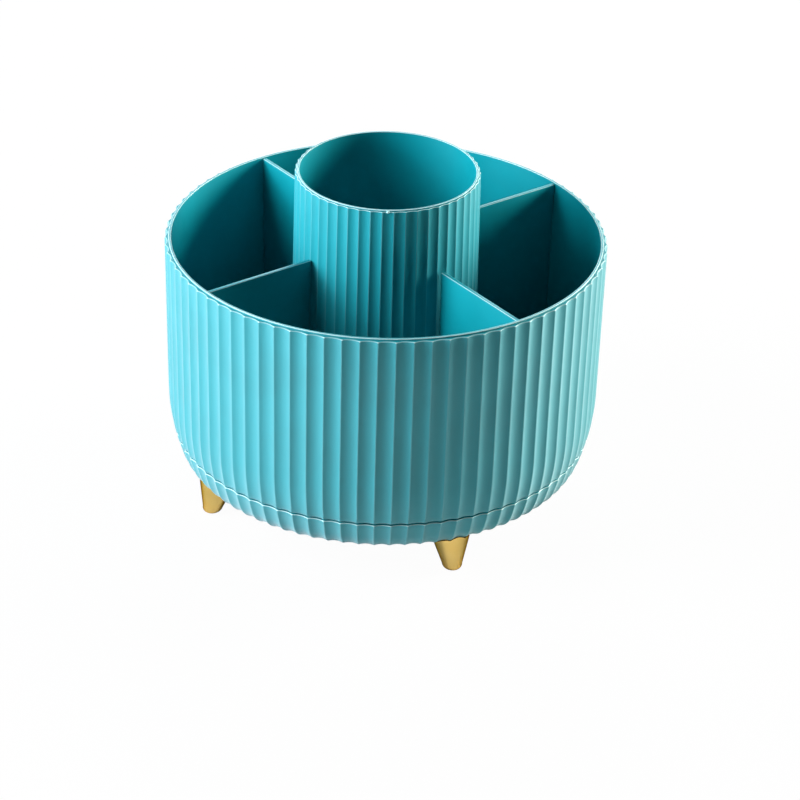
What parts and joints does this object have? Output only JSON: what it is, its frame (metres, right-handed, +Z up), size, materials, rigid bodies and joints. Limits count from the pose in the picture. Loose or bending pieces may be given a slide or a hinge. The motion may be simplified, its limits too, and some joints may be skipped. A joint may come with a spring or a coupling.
{
  "type": "rotating desktop organizer",
  "caption": "Round fluted drum with dividers around a taller fluted cup, turning on a fluted dish with splayed tapered feet, for standing make-up and brushes.",
  "frame": {"origin": "on the table, under the middle of the object", "axes": "+Z up along the turning axis, -Y towards the front; the dividers lie on the diagonals of X and Y"},
  "size_m": [0.2062, 0.2062, 0.1652],
  "materials": {
    "teal_plastic": "satin",
    "gold": "polished gold plating on plastic",
    "zinc_steel": "zinc plated",
    "ball_steel": "polished steel",
    "white_nylon": "as moulded"
  },
  "bodies": {
    "base": {"base_dish": "teal_plastic", "foot_1": "gold", "foot_2": "gold", "foot_3": "gold", "foot_4": "gold", "foot_screw_1": "zinc_steel", "foot_screw_2": "zinc_steel", "foot_screw_3": "zinc_steel", "foot_screw_4": "zinc_steel"},
    "carousel": {"drum": "teal_plastic", "centre_cup": "teal_plastic", "divider_back_right": "teal_plastic", "divider_back_left": "teal_plastic", "divider_front_left": "teal_plastic", "divider_front_right": "teal_plastic", "pivot_screw": "zinc_steel", "pivot_washer": "zinc_steel"},
    "ball_race": {"ball_cage": "white_nylon", "ball_01": "ball_steel", "ball_02": "ball_steel", "ball_03": "ball_steel", "ball_04": "ball_steel", "ball_05": "ball_steel", "ball_06": "ball_steel", "ball_07": "ball_steel", "ball_08": "ball_steel", "ball_09": "ball_steel", "ball_10": "ball_steel", "ball_11": "ball_steel", "ball_12": "ball_steel"}
  },
  "joints": [
    {"name": "carousel_spin", "type": "hinge", "parent": "base", "child": "carousel", "pos_m": [0, 0, 0.0336], "axis": [0, 0, 1], "continuous": true},
    {"name": "race_spin", "type": "hinge", "parent": "base", "child": "ball_race", "pos_m": [0, 0, 0.0314], "axis": [0, 0, 1], "continuous": true}
  ],
  "couplings": [
    {"joint": "race_spin", "follows": "carousel_spin", "ratio": 0.5}
  ]
}
